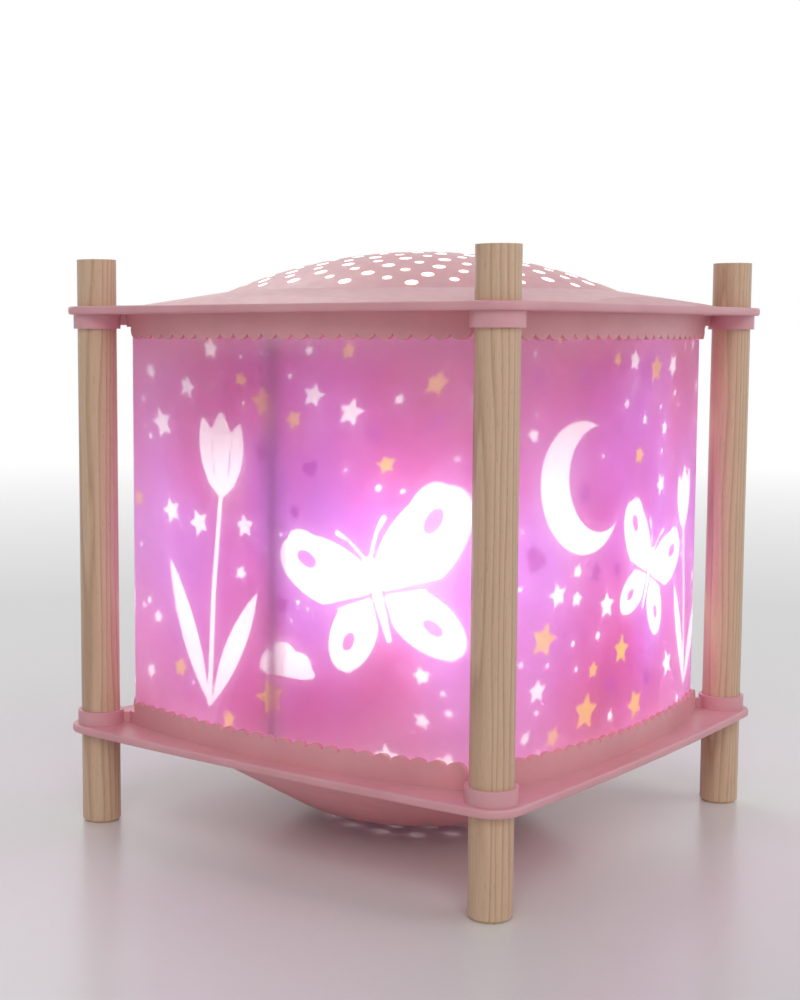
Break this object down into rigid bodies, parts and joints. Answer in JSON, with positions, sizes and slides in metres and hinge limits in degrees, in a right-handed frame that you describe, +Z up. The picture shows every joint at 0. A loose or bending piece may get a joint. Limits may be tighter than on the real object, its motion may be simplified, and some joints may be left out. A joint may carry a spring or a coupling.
{
  "type": "rotating motion lamp",
  "caption": "Square night light on round wooden posts, with scalloped plates, a frosted film and a printed drum that turns on a needle above the bulb.",
  "frame": {"origin": "on the table, under the middle of the lamp", "axes": "+Z up along the drum's axis; the lamp's square sides lie along X and Y; the corner that the picture shows is at -X, -Y"},
  "size_m": [0.178, 0.178, 0.1932],
  "materials": {
    "rose_plastic": "satin moulded plastic, slightly translucent",
    "post_wood": "turned light wood, thin clear varnish",
    "frosted_film": "frosted translucent sheet",
    "printed_film": "printed clear sheet, matt",
    "white_plastic": "plain moulded",
    "turbine_sheet": "bright rolled sheet",
    "hub_plastic": "moulded",
    "brass": "turned",
    "bright_steel": "drawn wire, bright",
    "screw_steel": "zinc plated",
    "holder_plastic": "heat-resistant moulding",
    "cap_metal": "rolled thread",
    "cap_insulator": "black glass",
    "solder": "solder",
    "bulb_glass": "clear",
    "filament": "coiled wire, lit",
    "gland_rubber": "soft"
  },
  "bodies": {
    "body": {"bottom_plate": "rose_plastic", "post_front": "post_wood", "post_right": "post_wood", "post_back": "post_wood", "post_left": "post_wood", "outer_film": "frosted_film", "needle": "bright_steel", "needle_ferrule": "brass", "needle_bracket": "bright_steel", "bracket_screws": "screw_steel", "holder_base": "holder_plastic", "holder_body": "holder_plastic", "holder_shell": "brass", "holder_contact": "brass", "holder_screws": "screw_steel", "terminal_screws": "brass", "bulb_cap": "cap_metal", "bulb_insulator": "cap_insulator", "bulb_tip": "solder", "bulb_glass": "bulb_glass", "bulb_stem": "bulb_glass", "bulb_leads": "bright_steel", "bulb_filament": "filament", "cord_gland": "gland_rubber"},
    "drum": {"drum_film": "printed_film", "drum_top_ring": "white_plastic", "drum_hoop": "white_plastic", "turbine": "turbine_sheet", "turbine_hub": "hub_plastic", "pivot_cup": "brass", "hub_nut": "hub_plastic"},
    "cover": {"top_plate": "rose_plastic"}
  },
  "joints": [
    {"name": "drum_spin", "type": "hinge", "parent": "body", "child": "drum", "pos_m": [0, 0, 0.1585], "axis": [0, 0, 1], "continuous": true},
    {"name": "cover_lift", "type": "slide", "parent": "body", "child": "cover", "axis": [0, 0, 1], "range_m": [0, 0.02]}
  ]
}
